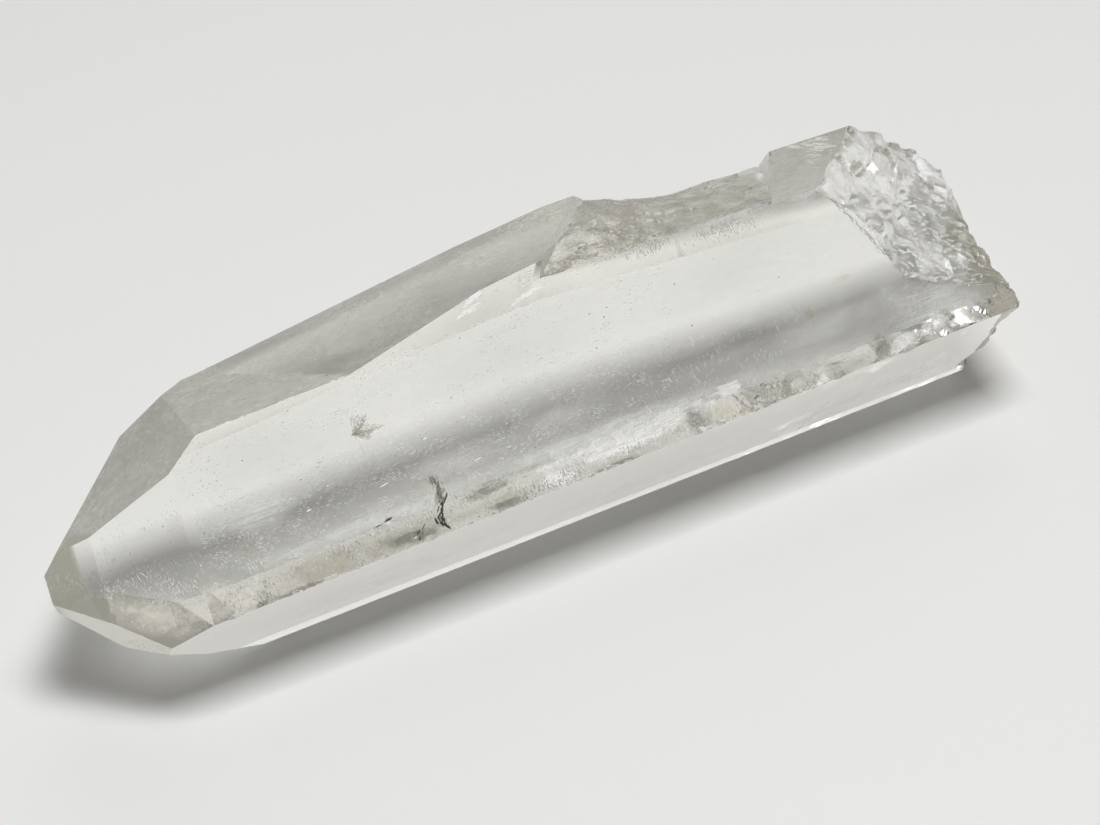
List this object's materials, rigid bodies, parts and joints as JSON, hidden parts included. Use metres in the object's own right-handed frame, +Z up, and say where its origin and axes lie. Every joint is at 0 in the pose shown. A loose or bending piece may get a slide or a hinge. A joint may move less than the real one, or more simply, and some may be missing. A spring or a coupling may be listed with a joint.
{
  "type": "quartz crystal",
  "caption": "Clear himalayan quartz point lying on a prism face: long six-sided prism with a chisel tip, a broken ledge along its top and a rough broken root end.",
  "frame": {"origin": "middle of the crystal's bounding box, on the plane of the prism face that it rests on", "axes": "+X along the crystal from its tip to its broken root, -Y toward its two broad front faces, +Z up from the resting face"},
  "size_m": [0.0938, 0.0228, 0.0268],
  "materials": {
    "clear_quartz": "clear natural crystal faces, faintly warm; rough glassy breaks"
  },
  "bodies": {
    "root": {"crystal": "clear_quartz"}
  },
  "joints": []
}
